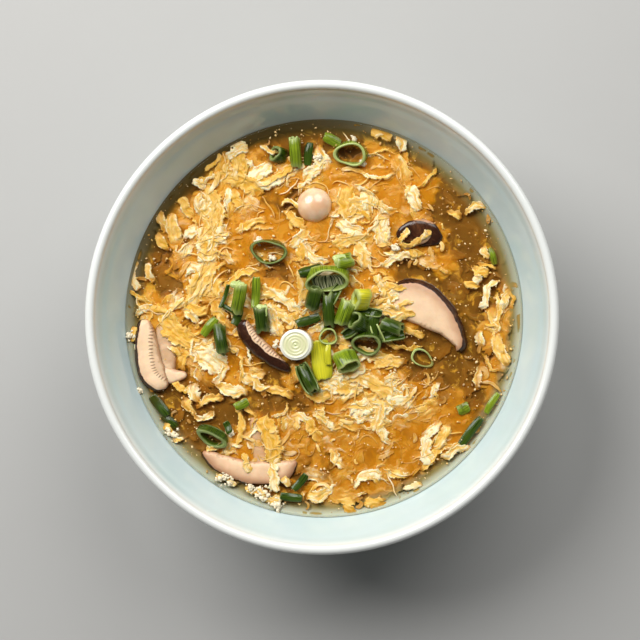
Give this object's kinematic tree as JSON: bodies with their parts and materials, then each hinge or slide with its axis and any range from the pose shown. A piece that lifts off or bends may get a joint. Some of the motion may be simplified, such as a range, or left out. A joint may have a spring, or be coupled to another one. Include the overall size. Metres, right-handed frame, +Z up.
{
  "type": "bowl of egg drop soup",
  "caption": "Round celadon soup bowl filled with thickened broth, drifts of set egg, sliced shiitake, a button mushroom and chopped scallion.",
  "frame": {"origin": "centre of the foot ring, on the surface that the bowl stands on", "axes": "+Z up out of the bowl's mouth, +Y to the far side of the bowl and +X to the right, as in the picture"},
  "size_m": [0.172, 0.172, 0.066],
  "materials": {
    "celadon_glaze": "pale blue-green glaze, glossy",
    "broth": "clear golden-brown thickened broth, wet gloss",
    "egg": "set egg, cream to golden, wet",
    "shiitake": "cut mushroom flesh, pale tan, with dark brown skin, wet",
    "button_mushroom": "smooth pale mushroom cap, wet",
    "scallion_dark": "dark green leaf, glossy",
    "scallion_green": "bright green leaf, glossy",
    "scallion_pale": "yellow-green leaf near the stem, glossy",
    "scallion_white": "white stem with fine rings, wet"
  },
  "bodies": {
    "root": {"bowl": "celadon_glaze", "soup": "broth", "egg_ribbons": "egg", "scallion_yellow_tube": "scallion_pale", "scallion_striped_ring": "scallion_green", "scallion_back_tube": "scallion_green", "scallion_curled_tube": "scallion_dark", "scallion_pale_tube": "scallion_green", "scallion_upright_tube": "scallion_dark", "scallion_cluster_left": "scallion_dark", "scallion_cluster_middle": "scallion_dark", "scallion_cluster_right": "scallion_dark", "scallion_cluster_low": "scallion_dark", "scallion_dark_leaf": "scallion_dark", "scallion_film_ring": "scallion_green", "scallion_white_round": "scallion_white", "scallion_bright_tube": "scallion_green", "scallion_pale_strip": "scallion_pale", "scallion_open_tube": "scallion_dark", "scallion_yellow_leaf": "scallion_pale", "scallion_left_tube": "scallion_green", "scallion_left_leaf": "scallion_green", "scallion_left_short": "scallion_dark", "scallion_left_slip": "scallion_green", "scallion_left_dark": "scallion_dark", "scallion_thin_ring": "scallion_dark", "scallion_bit": "scallion_green", "scallion_far_tube": "scallion_green", "scallion_far_dark": "scallion_dark", "scallion_far_slip": "scallion_dark", "scallion_far_ring": "scallion_green", "scallion_near_ring": "scallion_dark", "scallion_near_bit": "scallion_dark", "scallion_near_slip": "scallion_dark", "scallion_near_dark": "scallion_dark", "scallion_wall_leaf": "scallion_dark", "scallion_wall_bright": "scallion_green", "shiitake_slice_right": "shiitake", "shiitake_slice_left": "shiitake", "shiitake_slice_front": "shiitake", "shiitake_slice_back": "shiitake", "shiitake_slice_centre": "shiitake", "button_mushroom": "button_mushroom"}
  },
  "joints": []
}
